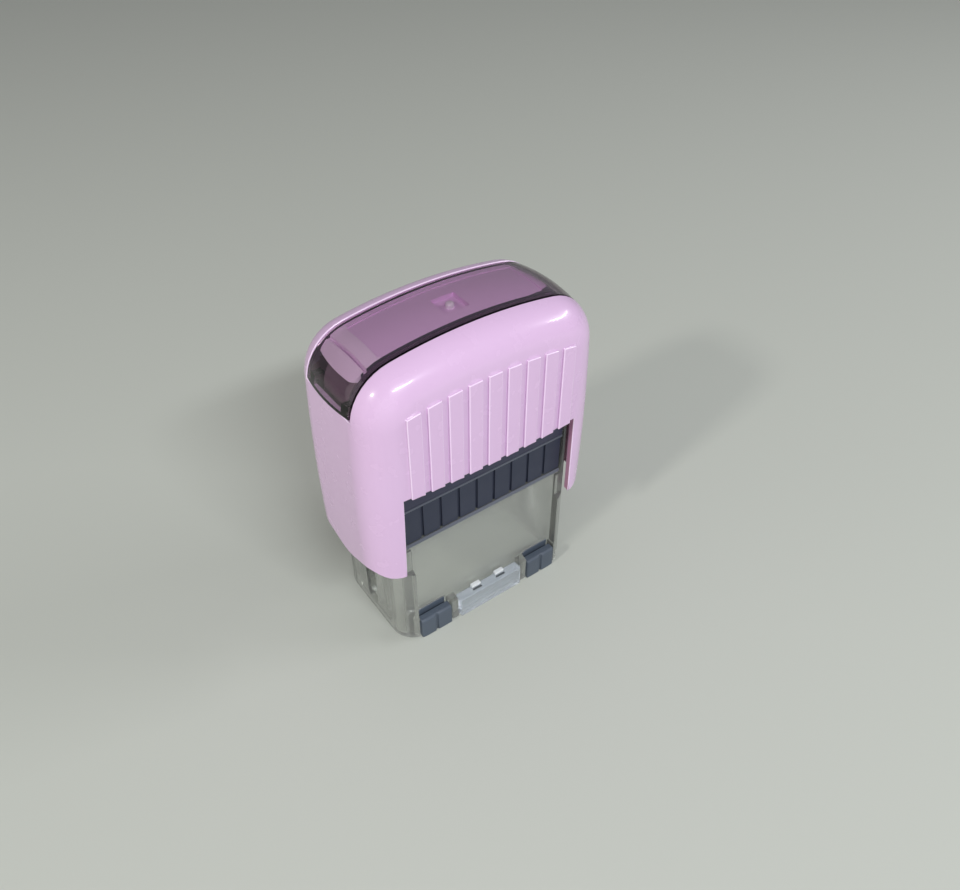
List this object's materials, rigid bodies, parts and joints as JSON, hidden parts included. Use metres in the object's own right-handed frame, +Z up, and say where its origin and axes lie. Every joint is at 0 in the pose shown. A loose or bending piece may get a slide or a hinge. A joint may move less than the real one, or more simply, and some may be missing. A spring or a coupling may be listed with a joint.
{
  "type": "self-inking stamp",
  "caption": "Spring-loaded self-inking office stamp: ribbed arched housing on a clear base frame, ink cassette and turning text plate.",
  "frame": {"origin": "middle of the footprint on the table, at the feet's underside", "axes": "+Z up along the press direction, +X along the text plate's length, -Y to the ribbed front that the picture shows"},
  "size_m": [0.0428, 0.023, 0.0575],
  "materials": {
    "pink_gloss": "high gloss lilac pink",
    "pink_seat": "satin mauve pink",
    "smoky_purple_clear": "clear smoky purple",
    "smoky_grey_clear": "clear smoky grey-green",
    "slate_matte": "matte dark slate",
    "foot_rubber": "matte slate grey",
    "dark_inner": "satin near black",
    "ink_felt": "inked felt",
    "foam_grey": "adhesive foam",
    "plate_rubber": "matte red-brown rubber",
    "spring_steel": "bright wire"
  },
  "bodies": {
    "base": {"base_frame": "smoky_grey_clear", "foot_front_left": "foot_rubber", "foot_front_right": "foot_rubber", "foot_back_left": "foot_rubber", "foot_back_right": "foot_rubber", "sill_front": "smoky_grey_clear", "sill_back": "smoky_grey_clear", "ink_cassette": "slate_matte", "ink_pad": "ink_felt", "return_spring": "spring_steel"},
    "housing": {"housing_shell": "pink_gloss", "yoke": "dark_inner", "axle_pin_left": "dark_inner", "axle_pin_right": "dark_inner", "index_seat": "pink_seat"},
    "window": {"top_window": "smoky_purple_clear"},
    "platen": {"platen_carrier": "dark_inner", "adhesive_foam": "foam_grey", "text_plate": "plate_rubber"}
  },
  "joints": [
    {"name": "press", "type": "slide", "parent": "base", "child": "housing", "axis": [0, 0, -1], "range_m": [0, 0.0168], "stiffness_N_per_m": 500, "springref_m": -0.006, "deforming": ["return_spring"]},
    {"name": "window_lift", "type": "slide", "parent": "housing", "child": "window", "axis": [0, 0, 1], "range_m": [0, 0.008]},
    {"name": "platen_turn", "type": "hinge", "parent": "housing", "child": "platen", "pos_m": [0, 0, 0.02025], "axis": [1, 0, 0], "range_deg": [0, 180]}
  ],
  "couplings": [
    {"joint": "platen_turn", "follows": "press", "rad_per_m": 186.9}
  ]
}
